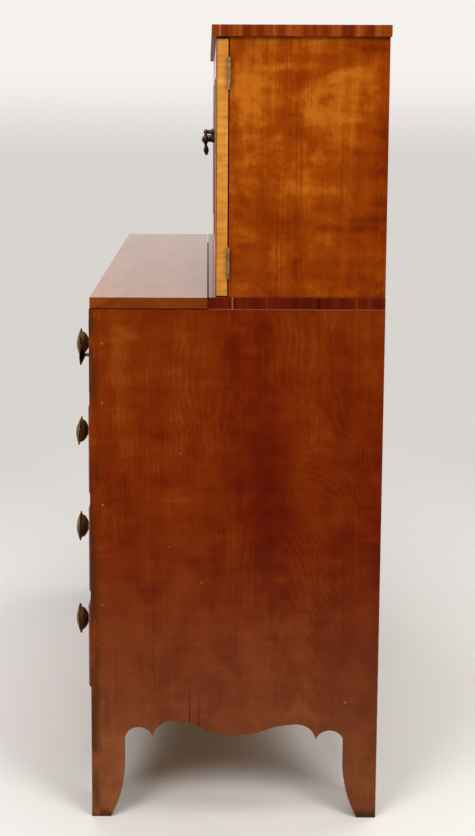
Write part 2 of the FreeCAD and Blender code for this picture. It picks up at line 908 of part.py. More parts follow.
def save_writing_flap():
    outer_hinge = half_width - flap_hinge_inset
    hinges = [flap_hinge(place) for place in (-outer_hinge, 0.0, outer_hinge)]
    bed = plain_bed()
    flap = plain_flap()
    for _, _, _, room in hinges:
        bed = bed.cut(room)
        flap = flap.cut(room)
    save("writing_bed", bed)
    save("writing_flap", flap)
    save("bed_hinge_leaves", *[piece for leaf, _, pin, _ in hinges for piece in (leaf, pin)])
    save("flap_hinge_leaves", *[leaf for _, leaf, _, _ in hinges])
    save_both("loper_{}", loper())
    save_both("loper_knob_{}", loper_knob())


def save_drawers():
    for index in range(drawer_count):
        drawer = Drawer(index)
        name = "drawer_%d_" % (index + 1)
        save(name + "front", drawer.front())
        save(name + "sides", *drawer.sides())
        save(name + "back", drawer.back())
        save(name + "bottom", drawer.bottom())
        save(name + "brasses", *drawer.brasses())


def save_upper_case():
    save_both("upper_side_{}", upper_side())
    save("upper_bottom", upper_bottom())
    save("upper_shelf", upper_shelf())
    save("upper_backboards", *upper_backboards())
    save("base_frame", *base_frame())
    save("upper_top", upper_top())
    save("top_front_band", top_front_band())


def save_doors():
    stiles, rails, panel = door_frame()
    hinges = [door_hinge(level) for level in (door_low + door_hinge_inset, door_high - door_hinge_inset)]
    case_leaves = [piece for leaf, _, pin in hinges for piece in (leaf, pin)]
    save("door_hinge_case_leaves", *case_leaves, *[mirrored(piece) for piece in case_leaves])
    save_both("door_{}_stiles", stiles)
    save_both("door_{}_rails", rails)
    save_both("door_{}_panel", panel)
    save_both("door_{}_hinge_leaves", [leaf for _, leaf, _ in hinges])
    save_both("door_{}_pull", [pull_plate()] + pull_posts())
    save_both("door_{}_bail", bail())


os.makedirs("parts", exist_ok=True)
save_lower_case()
save_writing_flap()
save_drawers()
save_upper_case()
save_doors()
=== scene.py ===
import bpy
import math
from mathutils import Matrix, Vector


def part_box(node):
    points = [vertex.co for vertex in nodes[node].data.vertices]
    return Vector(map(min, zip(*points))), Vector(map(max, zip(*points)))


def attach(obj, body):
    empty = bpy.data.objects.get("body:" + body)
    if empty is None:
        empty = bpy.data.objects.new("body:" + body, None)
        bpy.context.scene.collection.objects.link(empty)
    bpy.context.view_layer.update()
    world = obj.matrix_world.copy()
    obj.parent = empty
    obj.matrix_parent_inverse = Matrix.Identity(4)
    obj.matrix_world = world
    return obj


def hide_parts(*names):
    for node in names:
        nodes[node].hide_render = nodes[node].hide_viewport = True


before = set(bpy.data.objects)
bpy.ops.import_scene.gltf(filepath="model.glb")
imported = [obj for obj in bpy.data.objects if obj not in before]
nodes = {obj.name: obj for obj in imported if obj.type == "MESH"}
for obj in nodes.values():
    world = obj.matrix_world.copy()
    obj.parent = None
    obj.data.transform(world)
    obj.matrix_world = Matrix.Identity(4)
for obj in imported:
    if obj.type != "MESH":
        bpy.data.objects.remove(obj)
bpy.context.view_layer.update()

DRAWERS = ("1", "2", "3", "4")
HANDS = {"left": -1.0, "right": 1.0}

# Boards. All lengths are in metres
drawer_front_thickness = 0.021
base_rail_depth = 0.0425
base_strip_width = 0.046

# Edges of the boards, softened by handling
board_softness = 0.0009
softness_steps = 2
sharp_angle = math.radians(40)
flat_angle = math.radians(0.5)
weld_distance = 0.00001

# Faces of a modelled piece that meet at less than this are shaded as one
smooth_angle = math.radians(35)

# Places read from the frame
side_low, side_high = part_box("lower_side_right")
case_front = side_low.y
side_face = side_high.x
top_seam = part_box("upper_top")[0].y
base_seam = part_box("base_frame")[0].y + base_rail_depth
base_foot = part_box("base_frame")[0].z
door_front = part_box("door_right_stiles")[0].y
upper_low, upper_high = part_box("upper_side_right")
flap_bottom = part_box("writing_flap")[0].z

# Drawer knobs, with distances from the drawer front
knob_x = 0.37
knob_sides = 48
knob_base_radius = 0.0110
knob_base_shoulder = 0.0017
knob_base_edge = 0.0008
knob_neck_radius = 0.0068
knob_neck_end = 0.0115
knob_bowl_centre = 0.0384
knob_bowl_radius = 0.0273
knob_rim_middle = 0.0270
knob_rim_radius = 0.0280
knob_rim_bead = 0.0007
knob_boss_radius = 0.0125
knob_boss_back = 0.0318
knob_boss_front = 0.0330
knob_dome_radius = 0.0401
knob_front = 0.0349
petal_inside = 0.0150
petal_outside = 0.0222
petal_border = 0.0004
petal_rise = 0.0006

# Short stretches of the knob's profile, each point a distance and a radius
KNOB_NECK = [(0.0025, 0.0080), (0.0036, knob_neck_radius), (knob_neck_end, knob_neck_radius)]
KNOB_LIP = [(0.0258, 0.0225)]
KNOB_GROOVE = [(0.0282, 0.0258), (0.0280, 0.0250), (0.0283, 0.0242), (0.0290, 0.0234)]
KNOB_SLOPE = [(0.0293, petal_outside), (0.0314, petal_inside), (knob_boss_back, 0.0138)]
KNOB_BOSS = [(knob_boss_back, knob_boss_radius), (knob_boss_front, knob_boss_radius)]

# Right-hand knobs that have been pulled crooked, by drawer, in degrees
KNOB_LEAN = {"2": 5.0, "4": -5.0}

# Nuts behind the drawer fronts, on the ends of the knobs' posts
nut_width = 0.013
nut_thickness = 0.004
nut_softness = 0.0008
post_sides = 16
post_radius = 0.004
post_stub = 0.0015
post_tip = 0.0006
post_tip_radius = 0.7 * post_radius

# Keyholes
keyhole_sides = 32
keyhole_radius = 0.0032
keyhole_slot_width = 0.0034
keyhole_liner = 0.0016
keyhole_drop = 0.011
keyhole_depth = 0.006
keyhole_top_margin = 0.026

# Door pulls, measured from the pivot of the bail, with distances from the door
pull_plate_sides = 40
pull_plate_half_width = 0.026
pull_plate_half_height = 0.017
pull_plate_drop = 0.007
pull_plate_shoulder = 0.0009
pull_plate_edge = 0.0007
pull_dome_front = 0.0070
pull_dome_radius = 0.0390
pull_post_sides = 24
pull_post_spacing = 0.030
pull_ball_radius = 0.0050
pull_boss_drop = 0.0145
pull_bulb_middle = 0.0104
pull_bulb_core = 0.0010
pull_bulb_radius = 0.0062

# Groove of a pull's plate: distance from the door, and inset from the plate's edge
PLATE_GROOVE = [(0.0012, 0.0028), (0.0010, 0.0036), (0.0012, 0.0044)]

# Turned profiles of a pull's posts and boss, each point a distance and a radius
POST_FOOT = [(0.0, 0.0078), (0.0050, 0.0068), (0.0068, 0.0050), (0.0080, 0.0038)]
POST_RING = [(0.0096, 0.0036), (0.0100, 0.0046), (0.0110, 0.0046), (0.0114, 0.0036)]
BOSS_NECK = [(0.0, 0.0085), (0.0066, 0.0080), (0.0074, 0.0060)]

# Bails that hang in the pulls. The corner rate says how fast the corner lobe comes and goes along the grip
bail_sides = 14
bail_pin_start = 0.012
bail_pin_radius = 0.0022
bail_half_width = 0.022
bail_elbow = 0.004
bail_elbow_steps = 4
bail_arm_length = 0.024
bail_arm_radius = 0.0026
bail_arm_steps = 16
bail_lobe = 0.0052
bail_lobe_bow = 0.001
bail_corner_lobe = 0.0026
bail_corner_rate = 2.4
bail_grip_drop = 0.0190
bail_grip_swell = 0.0010
bail_grip_lean = 0.0015
bail_grip_steps = 9

# Wooden plugs over the nails of the lower sides: distance from the front edge, height, size
PLUGS = [
    (0.023, 0.902, 0.9), (0.023, 0.793, 1.0), (0.023, 0.603, 1.0), (0.023, 0.413, 1.0), (0.023, 0.226, 1.0),
    (0.299, 0.227, 1.0), (0.386, 0.227, 1.0), (0.471, 0.227, 1.0),
    (0.165, 0.700, 0.7), (0.145, 0.525, 0.7), (0.204, 0.457, 0.8), (0.011, 0.337, 0.6),
]
plug_sides = 12
plug_radius = 0.0024
plug_crown = 0.6

# Pegs through the joints of the doors
peg_sides = 10
peg_radius = 0.0034
peg_crown = 0.8
peg_from_panel = 0.008
peg_spread = 0.014

# Plugs and pegs alike: how deep they go, and how far their shoulder and their tip stand out
peg_sunk = 0.002
peg_shoulder = 0.0001
peg_proud = 0.0003

# Backboard nails, each point of the head a distance and a share of the radius
nail_sides = 5
nail_radius = 0.0042
nail_edge_distance = 0.010
nail_spacing = 0.085
NAIL_HEAD = [(-0.002, 0.5), (0.0001, 0.9), (0.0005, 1.0), (0.0014, 0.25)]

# Figure of the lower sides: the heart line, by its distance from the front edge, leans forward as it rises
heart_at_floor = 0.445
heart_lean = -0.17
heart_half_width = 0.08
rings_per_metre = 150.0

# Ovals where the rings close: distance from the front edge, height, half width, half height, rings' rise.
# They reach through the whole case and show on both of its ends
OVALS = [(0.388, 0.735, 0.10, 0.26, 0.07), (0.040, 0.725, 0.06, 0.16, 0.04)]
oval_through = 3.0

# Hairline splits of the lower sides: distance from the front edge, lower end, upper end
SPLITS = [(0.183, 0.16, 0.262), (0.200, 0.15, 0.235)]

# Finishes: the roughness of each at its smoothest and its dullest, and how much the varnish shines
VARNISHED_GLOSS = (0.36, 0.5)
WORN_GLOSS = (0.36, 0.52)
RUBBED_GLOSS = (0.32, 0.46)
DRAWER_GLOSS = (0.28, 0.42)
PANEL_GLOSS = (0.26, 0.4)
MAPLE_GLOSS = (0.26, 0.38)
POLISHED_GLOSS = (0.24, 0.36)
BARE_GLOSS = (0.62, 0.8)
worn_shine = 0.04
plain_shine = 0.2
hand_polish = 0.66

# Stage
floor_sides = 96
floor_radius = 14.0
floor_fade = (0.8, 2.6)
backdrop_rise = (-0.05, 0.04)
LIGHT_COLOUR = (1.0, 0.985, 0.965, 1.0)
light_strength = 0.08
lamp_target = (0, 0, 0.7)

# Lamps: name, place, size and power
LAMPS = [
    ("lamp_left", (2.6, -1.9, 3.3), 1.5, 72.0),
    ("lamp_right", (2.6, 2.4, 3.3), 1.5, 76.0),
    ("lamp_top", (0.4, 0.0, 4.2), 2.4, 112.0),
    ("lamp_back", (-1.2, 2.8, 3.4), 2.0, 40.0),
    ("lamp_far", (-2.6, -1.4, 3.3), 1.6, 20.0),
]

# Camera, turned by degrees about each axis
camera_place = (2.447, -0.0335, 1.320)
camera_turn = (84.2, -0.21, 90.17)
camera_lens = 47.4
camera_shift_x = 0.0394
camera_shift_y = -0.235


def painted(red, green, blue):
    """A colour as it is seen, 0 to 255, turned into the shader's linear colour."""
    def linear(value):
        share = value / 255.0
        return share / 12.92 if share <= 0.04045 else ((share + 0.055) / 1.055) ** 2.4
    return linear(red), linear(green), linear(blue), 1.0


def shades(*colours):
    """Several colours as they are seen."""
    return [painted(*colour) for colour in colours]


# Woods and iron, each from its darkest to its lightest tone
RED_TONES = shades((85, 15, 0), (106, 27, 0), (123, 44, 1), (147, 70, 14))
# Painted light from the floor: paler, hazier tones for the lower part of the lower sides
FLOOR_LIT_TONES = shades((99, 53, 29), (116, 67, 38), (132, 79, 47), (149, 94, 60))
DRAWER_TONES = shades((78, 20, 0), (114, 40, 1), (140, 60, 6), (174, 92, 22))
GOLDEN_TONES = shades((90, 22, 0), (125, 44, 0), (149, 63, 2), (184, 99, 20))
BAND_TONES = shades((78, 22, 2), (112, 40, 6), (136, 57, 11), (168, 88, 33))
STRIP_TONES = shades((56, 8, 0), (84, 18, 1), (104, 27, 3), (130, 46, 10))
FLAP_TONES = shades((88, 32, 5), (116, 50, 9), (136, 66, 14), (162, 90, 30))
# Painted sheen: lighter tones for the flap's broad faces, standing in for the pale reflection on their
# polish
PAINTED_SHEEN_TONES = shades((92, 46, 18), (124, 72, 34), (146, 92, 48), (176, 124, 76))
MAPLE_TONES = shades((166, 92, 19), (198, 122, 31), (216, 142, 42), (236, 173, 74))
PALE_TONES = shades((122, 92, 58), (158, 124, 82), (178, 144, 98), (200, 168, 122))
BACK_TONES = shades((84, 62, 40), (118, 88, 58), (138, 106, 72), (162, 130, 92))
PLUG_TONES = shades((104, 44, 18), (136, 66, 34), (156, 86, 50), (176, 108, 70))
PEG_TONES = shades((120, 66, 20), (150, 88, 30), (168, 104, 40), (188, 124, 58))
IRON_TONES = shades((38, 30, 26), (58, 46, 38), (92, 64, 44))

# Brasses, each rubbed and tarnished
DARK_BRASS = shades((160, 130, 78), (94, 74, 46))
PULL_BRASS = shades((108, 84, 54), (46, 35, 24))
HINGE_BRASS = shades((168, 136, 88), (98, 76, 48))

# Stains, wear, glue and darker marks, with painted shade and a painted highlight among them
PORE_SHADE = painted(130, 80, 60)
EDGE_GRIME = painted(66, 36, 14)
FLOOR_SCUFF = painted(52, 32, 22)
SPLIT_SHADE = painted(40, 14, 6)
DOOR_GRIME = painted(92, 42, 10)
# Pale glue lines, and a painted highlight along the lower edge of the base strips
GLUE_AND_GLINT = painted(196, 140, 106)
BOARD_JOINT = painted(40, 28, 18)
# Darker colour towards the rear of the flap
FLAP_REAR_DARK = painted(96, 32, 4)
# Painted shade in the gap under the flap's lower edge
FLAP_GAP_SHADE = painted(44, 18, 8)

# Floor and backdrop
FLOOR_PAPER = painted(229, 225, 221)
BACKDROP_LOW = painted(216, 212, 207)
BACKDROP_HIGH = painted(245, 241, 239)


class Nodes:
    """A node tree being built."""

    def __init__(self, tree):
        self.tree = tree

    def add(self, kind, inputs, **settings):
        """Adds a node. An input is a number, a vector, a colour, or another node's output."""
        node = self.tree.nodes.new(kind)
        for key, value in settings.items():
            setattr(node, key, value)
        for key, value in inputs.items():
            if isinstance(value, bpy.types.NodeSocket):
                self.tree.links.new(value, node.inputs[key])
            else:
                node.inputs[key].default_value = value
        return node

    def axes(self, vector):
        return self.add("ShaderNodeSeparateXYZ", {"Vector": vector}).outputs

    def calc(self, operation, first, second=0.0, third=0.0):
        return self.add("ShaderNodeMath", {0: first, 1: second, 2: third}, operation=operation).outputs[0]

    def added(self, value, *shares):
        """A value with (weight, amount) shares added to it."""
        for weight, amount in shares:
            value = self.calc("MULTIPLY_ADD", amount, weight, value)
        return value

    def total(self, *shares):
        """Sum of (weight, value) shares, each value counted from its middle of 0.5, around 0.5."""
        return self.added(0.5, *[(weight, self.calc("SUBTRACT", value, 0.5)) for weight, value in shares])

    def fade(self, value, start, end, first=0.0, last=1.0):
        """0 at start and 1 at end, or what else is given for them, with a smooth step between them."""
        inputs = {"Value": value, "From Min": start, "From Max": end, "To Min": first, "To Max": last}
        return self.add("ShaderNodeMapRange", inputs, interpolation_type="SMOOTHSTEP").outputs["Result"]

    def fade_out(self, value, start, end):
        """1 at start and 0 at end, with a smooth step between them."""
        return self.fade(value, start, end, 1.0, 0.0)

    def between(self, value, low, high):
        """A plain rescale of a 0 to 1 value."""
        inputs = {"Value": value, "To Min": low, "To Max": high}
        return self.add("ShaderNodeMapRange", inputs).outputs["Result"]

    def ramp(self, factor, tones):
        """Runs through the tones as the factor rises, level before the first and after the last."""
        node = self.add("ShaderNodeValToRGB", {"Fac": factor})
        elements = node.color_ramp.elements
        while len(elements) < len(tones):
            elements.new(0.5)
        for index, tone in enumerate(tones):
            elements[index].position = 0.12 + 0.76 * index / (len(tones) - 1)
            elements[index].color = tone
        return node.outputs["Color"]

    def covered(self, under, mask, over, strength=1.0, mode="MIX"):
        """One colour laid over another where the mask is 1, more or less strongly."""
        amount = self.calc("MULTIPLY", mask, strength)
        node = self.add("ShaderNodeMix", {0: amount, 6: under, 7: over}, data_type="RGBA", blend_type=mode)
        return node.outputs[2]

    def end_with(self, amount, first, second, output):
        """Ends the tree with two shaders: the second one shows where the amount is 1."""
        blend = self.add("ShaderNodeMixShader", {0: amount, 1: first, 2: second}).outputs[0]
        self.tree.links.new(blend, self.tree.nodes[output].inputs["Surface"])


class Finish(Nodes):
    """A material being built: its shader, and the nodes that feed it."""

    def __init__(self, name, **constants):
        self.material = bpy.data.materials.new(name)
        self.material.use_nodes = True
        super().__init__(self.material.node_tree)
        self.shader = self.tree.nodes["Principled BSDF"]
        for socket, value in constants.items():
            self.shader.inputs[socket.replace("_", " ")].default_value = value
        coordinates = self.add("ShaderNodeTexCoord", {})
        self.place = coordinates.outputs["Object"]
        self.facing = coordinates.outputs["Normal"]

    def stretched(self, scale, shift=(0, 0, 0), turn=(0, 0, 0)):
        """Object coordinates, scaled along each axis, turned and then moved."""
        inputs = {"Vector": self.place, "Location": shift, "Rotation": turn, "Scale": scale}
        return self.add("ShaderNodeMapping", inputs).outputs["Vector"]

    def noise(self, vector, detail=3.0, roughness=0.5, distortion=0.0):
        inputs = {"Vector": vector, "Scale": 1.0, "Detail": detail, "Roughness": roughness,
                  "Distortion": distortion}
        return self.add("ShaderNodeTexNoise", inputs).outputs[0]

    def looking_along(self, axis, start, end):
        """1 on faces that look along an axis, either way, and 0 on faces that lie along it."""
        return self.fade(self.calc("ABSOLUTE", self.axes(self.facing)[axis]), start, end)

    def relief(self, height, distance):
        return self.add("ShaderNodeBump", {"Height": height, "Distance": distance}).outputs["Normal"]

    def connect(self, **sockets):
        """Feeds the shader and gives back the finished material."""
        for socket, value in sockets.items():
            self.tree.links.new(value, self.shader.inputs[socket.replace("_", " ")])
        return self.material


# Wood

class Wood(Finish):
    """A varnished or bare board with its grain along one axis."""

    def __init__(self, name, grain, shift=0.0, **constants):
        super().__init__(name, **constants)
        self.grain = grain
        self.shift = (shift, shift * 0.7, shift * 1.3)

    def grained(self, across, along, detail=3.0, distortion=0.0):
        """Noise that is stretched along the grain, with so many swells to the metre across and along it."""
        scale = tuple(along if axis == self.grain else across for axis in "XYZ")
        return self.noise(self.stretched(scale, self.shift), detail, 0.55, distortion)

    def waves(self, value, count):
        """Turns a slowly rising value into lines, 0 to 1, so many for each whole step of it."""
        wave = self.calc("SINE", self.calc("MULTIPLY", value, count * math.tau))
        return self.calc("MULTIPLY_ADD", wave, 0.5, 0.5)

    def growth_lines(self, across, along, count):
        """Contour lines of a slow swell, which close into the arches of flat-sawn wood."""
        return self.waves(self.grained(across, along, 2.0, 0.25), count)

    def streaks(self):
        """Fine straight lines along the grain, clear in some places and faint in others."""
        lines = self.calc("SUBTRACT", self.grained(240.0, 3.5, 4.0), 0.5)
        clear = self.fade(self.grained(16.0, 5.0, 2.0), 0.34, 0.66)
        return self.calc("MULTIPLY_ADD", lines, clear, 0.5)

    def complete(self, colour, factor, gloss, depth=0.00012):
        """Adds pores to the colour, and the gloss and relief that go with it."""
        pores = self.fade(self.grained(900.0, 22.0, 2.0), 0.62, 0.72)
        colour = self.covered(colour, pores, PORE_SHADE, 0.3, "MULTIPLY")
        height = self.added(self.streaks(), (-0.6, pores))
        rough = self.between(self.total((0.7, factor), (0.6, self.grained(30.0, 6.0))), *gloss)
        return self.connect(Base_Color=colour, Roughness=rough, Normal=self.relief(height, depth))


def plain_wood(name, tones, grain, shift=0.0, gloss=VARNISHED_GLOSS, mottle=0.4,
               shine=plain_shine, varnish=0.0):
    """A quiet board: broad zones of tone, growth lines, streaks and some mottle."""
    wood = Wood(name, grain, shift, Specular_IOR_Level=shine, Coat_Weight=varnish, Coat_Roughness=0.1)
    factor = wood.total(
        (0.8, wood.grained(7.0, 0.8, 3.0, 0.4)),
        (0.14, wood.growth_lines(5.0, 0.7, 11.0)),
        (0.35, wood.streaks()),
        (mottle, wood.grained(18.0, 11.0, 4.0, 0.6)),
    )
    return wood.complete(wood.ramp(factor, tones), factor, gloss)


def bare_wood(name, tones, grain, shift=0.0):
    """Unvarnished inside wood, dull and a little fuzzy."""
    return plain_wood(name, tones, grain, shift, gloss=BARE_GLOSS, mottle=0.25)


def oval_swell(wood, distance, height, half_width, half_height):
    """A smooth swell right through a lower side, 1 in its middle and 0 outside it."""
    centre = (side_face, case_front + distance, height)
    size = (oval_through, half_width, half_height)
    shift = tuple(-c / s for c, s in zip(centre, size))
    place = wood.stretched(tuple(1.0 / s for s in size), shift)
    swell = wood.add("ShaderNodeTexGradient", {"Vector": place}, gradient_type="QUADRATIC_SPHERE")
    return swell.outputs["Fac"]


def growth_rings(wood, from_front, z):
    """Rings by their distance from the leaning heart line, and the dark band that lies along that line."""
    wander = wood.calc("MULTIPLY_ADD", wood.grained(4.5, 2.2, 4.0), 0.12, -0.06)
    wander = wood.added(wander, (0.04, wood.grained(12.0, 9.0, 3.0)))
    heart = wood.calc("MULTIPLY_ADD", z, heart_lean, heart_at_floor)
    sideways = wood.calc("ADD", wood.calc("SUBTRACT", from_front, heart), wander)
    depth = wood.calc("MULTIPLY_ADD", z, 0.14, 0.03)
    shown = wood.fade(wood.grained(8.0, 3.5, 2.0), 0.42, 0.62)
    for *oval, rise in OVALS:
        swell = oval_swell(wood, *oval)
        depth = wood.added(depth, (rise, swell))
        shown = wood.calc("MAXIMUM", shown, swell)
    squares = wood.calc("MULTIPLY_ADD", sideways, sideways, wood.calc("MULTIPLY", depth, depth))
    rings = wood.waves(wood.calc("SQRT", squares), rings_per_metre)
    clear_rings = wood.calc("MULTIPLY", wood.calc("SUBTRACT", rings, 0.5), shown)
    near_heart = wood.fade_out(wood.calc("ABSOLUTE", sideways), 0.0, heart_half_width)
    dark_heart = wood.calc("MULTIPLY", near_heart, wood.fade(z, 0.25, 0.55))
    return clear_rings, dark_heart


def split(wood, from_front, z, place, low, high):
    """A hairline split that wanders along the grain between two heights."""
    wander = wood.added(from_front, (0.006, wood.grained(3.0, 30.0)))
    offset = wood.calc("ABSOLUTE", wood.calc("SUBTRACT", wander, place + 0.003))
    line = wood.fade_out(offset, 0.0003, 0.0016)
    ends = wood.calc("MULTIPLY", wood.fade(z, low, low + 0.02), wood.fade_out(z, high - 0.04, high))
    return wood.calc("MULTIPLY", line, ends)


def worn(wood, colour, from_front, z):
    """A lower side's colour under the grime of its front edge, the scuffs of its feet and its splits."""
    patches = wood.fade(wood.grained(45.0, 14.0, 4.0), 0.36, 0.58)
    edge = wood.calc("MULTIPLY", wood.fade_out(from_front, 0.006, 0.022), patches)
    colour = wood.covered(colour, edge, EDGE_GRIME, 0.7)
    scuffs = wood.fade_out(wood.added(z, (-0.012, patches)), -0.008, 0.010)
    colour = wood.covered(colour, scuffs, FLOOR_SCUFF, 0.8)
    for place, low, high in SPLITS:
        colour = wood.covered(colour, split(wood, from_front, z, place, low, high), SPLIT_SHADE, 0.75)
    return colour


def lower_side_wood():
    """The big red-brown ends: arched figure round a dark heart and worn at the edges, with painted light
    that makes them lighter towards the top and paler and hazier towards the floor.
    """
    wood = Wood("lower_side_wood", "Z", 3.1, Specular_IOR_Level=worn_shine)
    _, y, z = wood.axes(wood.place)
    from_front = wood.calc("SUBTRACT", y, case_front)
    clear_rings, dark_heart = growth_rings(wood, from_front, z)
    factor = wood.total(
        (0.70, wood.grained(6.0, 1.1, 3.0, 0.5)),
        (0.40, wood.streaks()),
        (0.65, wood.grained(20.0, 16.0, 5.0, 0.5)),
        (0.35, wood.grained(9.0, 40.0, 3.0, 0.8)),
        # Painted light: lighter towards the top, where more light falls from above
        (0.12, wood.fade(z, 0.45, 0.95)),
    )
    factor = wood.added(
        factor,
        (0.09, clear_rings),
        (-0.20, dark_heart),
        (0.10, wood.fade_out(from_front, 0.0, 0.22)),
        # Painted light from the floor: lighter near the feet
        (0.16, wood.fade_out(z, 0.08, 0.20)),
    )
    # Painted light from the floor: paler, hazier tones towards the bottom
    floor_light = wood.fade_out(z, 0.02, 0.60)
    colour = wood.covered(wood.ramp(factor, RED_TONES), floor_light, wood.ramp(factor, FLOOR_LIT_TONES), 0.72)
    return wood.complete(worn(wood, colour, from_front, z), factor, WORN_GLOSS)


def golden_wood(name, grain, shift):
    """Golden orange-brown board with blotchy mottle and level flame under fine upright streaks."""
    wood = Wood(name, grain, shift, Specular_IOR_Level=worn_shine)
    slanted = wood.stretched((14.0, 10.0, 16.0), wood.shift, (0.35, 0.0, 0.0))
    _, y, z = wood.axes(wood.place)
    factor = wood.total(
        (1.15, wood.noise(slanted, 7.0, 0.62, 0.5)),
        (0.50, wood.grained(4.0, 24.0, 3.0, 0.6)),
        (0.25, wood.grained(10.0, 1.2, 3.0, 0.4)),
        (0.55, wood.streaks()),
        (0.30, wood.grained(110.0, 60.0, 3.0)),
        (0.10, wood.growth_lines(6.0, 0.8, 9.0)),
        # Painted light: lighter towards the top, where more light falls from above
        (0.20, wood.fade(z, upper_low.z, upper_high.z)),
        (-0.20, wood.fade(y, upper_high.y - 0.09, upper_high.y)),
    )
    return wood.complete(wood.ramp(factor, GOLDEN_TONES), factor, RUBBED_GLOSS)


def curly_maple(name, grain, shift=0.0):
    """Golden maple with close ripples across the grain, and grime along the front of its edges."""
    wood = Wood(name, grain, shift, Specular_IOR_Level=plain_shine, Coat_Weight=0.4, Coat_Roughness=0.08)
    scale = tuple(95.0 if axis == grain else 14.0 for axis in "XYZ")
    ripples = wood.noise(wood.stretched(scale, wood.shift), 2.0, 0.5, 0.9)
    factor = wood.total(
        (0.95, ripples),
        (0.35, wood.grained(30.0, 3.0)),
        (0.35, wood.streaks()),
    )
    _, y, _ = wood.axes(wood.place)
    corner = wood.fade_out(wood.calc("SUBTRACT", y, door_front), 0.0014, 0.0030)
    grime = wood.calc("MULTIPLY", corner, wood.looking_along("X", 0.3, 0.7))
    colour = wood.covered(wood.ramp(factor, MAPLE_TONES), grime, DOOR_GRIME, 0.9)
    return wood.complete(colour, factor, MAPLE_GLOSS)


def crossbanded_wood(name, band_tones, face_tones, shift, glue_and_glint_lines, polish=0.0):
    """Edges veneered with upright bands of alternating tone, pale glue lines and painted highlight lines,
    and a grained upper face.

    Each pale line is an axis of the place and where on it the line lies: a glue line at a joint, or a
    painted highlight along an edge.
    """
    wood = Wood(name, "X", shift, Specular_IOR_Level=worn_shine, Coat_Roughness=0.15)
    bands = wood.noise(wood.stretched((70.0, 70.0, 1.0), wood.shift), 2.0, 0.5, 0.3)
    upright = wood.total((1.4, bands), (0.35, wood.streaks()))
    level = wood.total(
        (0.8, wood.grained(8.0, 0.9, 3.0, 0.4)),
        (0.4, wood.streaks()),
        (0.4, wood.grained(18.0, 11.0, 4.0, 0.6)),
    )
    up = wood.looking_along("Z", 0.5, 0.8)
    factor = wood.add("ShaderNodeMix", {0: up, 2: upright, 3: level}).outputs[0]
    colour = wood.covered(wood.ramp(factor, band_tones), up, wood.ramp(factor, face_tones))
    # Pale glue lines at joints, and a painted highlight where a line runs along an edge
    for axis, place in glue_and_glint_lines:
        from_line = wood.calc("ABSOLUTE", wood.calc("SUBTRACT", wood.axes(wood.place)[axis], place))
        colour = wood.covered(colour, wood.fade_out(from_line, 0.0008, 0.0018), GLUE_AND_GLINT, 0.5)
    if polish:
        wood.connect(Coat_Weight=wood.calc("MULTIPLY", up, polish))
    return wood.complete(colour, factor, RUBBED_GLOSS)


def back_wood(name, node, count):
    """Level backboards, each with its own run of grain and a dark joint against the next."""
    low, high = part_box(node)
    per_metre = count / (high.z - low.z)
    wood = Wood(name, "X", 6.0, Specular_IOR_Level=0.15)
    x, y, z = wood.axes(wood.place)
    rows = wood.calc("MULTIPLY_ADD", z, per_metre, -low.z * per_metre)
    row = wood.calc("FLOOR", rows)
    moved = {"X": wood.added(x, (3.7, row)), "Y": y, "Z": wood.added(z, (1.9, row))}
    wood.place = wood.add("ShaderNodeCombineXYZ", moved).outputs["Vector"]
    factor = wood.total(
        (0.9, wood.grained(9.0, 0.7, 3.0, 0.15)),
        (0.16, wood.growth_lines(4.0, 0.5, 12.0)),
        (0.45, wood.streaks()),
    )
    joint = wood.fade_out(wood.calc("PINGPONG", rows, 0.5), 0.0008 * per_metre, 0.0020 * per_metre)
    colour = wood.covered(wood.ramp(factor, BACK_TONES), joint, BOARD_JOINT, 0.8)
    return wood.complete(colour, factor, BARE_GLOSS)


def polished_flap_wood():
    """Brown wood of the flap, with its broad faces rubbed to a high polish and lightened with a painted
    sheen, and its ends left dull.
    """
    wood = Wood("flap_wood", "X", 5.7, Specular_IOR_Level=0.05, Coat_Roughness=0.15)
    factor = wood.total(
        (0.8, wood.grained(8.0, 0.8, 3.0, 0.4)),
        (0.14, wood.growth_lines(6.0, 0.7, 8.0)),
        (0.35, wood.streaks()),
        (0.4, wood.grained(18.0, 11.0, 4.0, 0.6)),
    )
    _, y, z = wood.axes(wood.place)
    # Darker towards the rear of the flap
    rear = wood.fade(y, case_front + 0.12, case_front + 0.20)
    colour = wood.covered(wood.ramp(factor, FLAP_TONES), rear, FLAP_REAR_DARK, 0.5)
    # Painted shade: darker along the flap's lower edge, where the gap beneath it is in shade
    gap_shade = wood.fade_out(wood.calc("SUBTRACT", z, flap_bottom), 0.0008, 0.0024)
    colour = wood.covered(colour, gap_shade, FLAP_GAP_SHADE, 0.85)
    broad = wood.looking_along("Z", 0.5, 0.9)
    # Painted sheen: the broad faces made lighter, standing in for the reflection on the polish
    colour = wood.covered(colour, broad, wood.ramp(factor, PAINTED_SHEEN_TONES), 0.8)
    wood.connect(Coat_Weight=wood.calc("MULTIPLY", broad, hand_polish))
    return wood.complete(colour, factor, POLISHED_GLOSS, 0.00004)


# Metal

def brass(name, colours, tarnish, roughness):
    """Brass that has darkened unevenly: rubbed metal under cloudy tarnish, with fine pitting."""
    rubbed, tarnished = colours
    metal = Finish(name, Metallic=1.0)
    clouds = metal.noise(metal.stretched((70.0, 70.0, 70.0)), 4.0, 0.6, 0.6)
    specks = metal.noise(metal.stretched((700.0, 700.0, 700.0)), 3.0)
    cover = metal.fade(metal.total((1.0, clouds), (0.5, specks)), tarnish - 0.2, tarnish + 0.2)
    rough = metal.between(metal.total((0.8, cover), (0.4, specks)), *roughness)
    return metal.connect(Base_Color=metal.covered(rubbed, cover, tarnished), Roughness=rough,
                         Normal=metal.relief(specks, 0.00006))


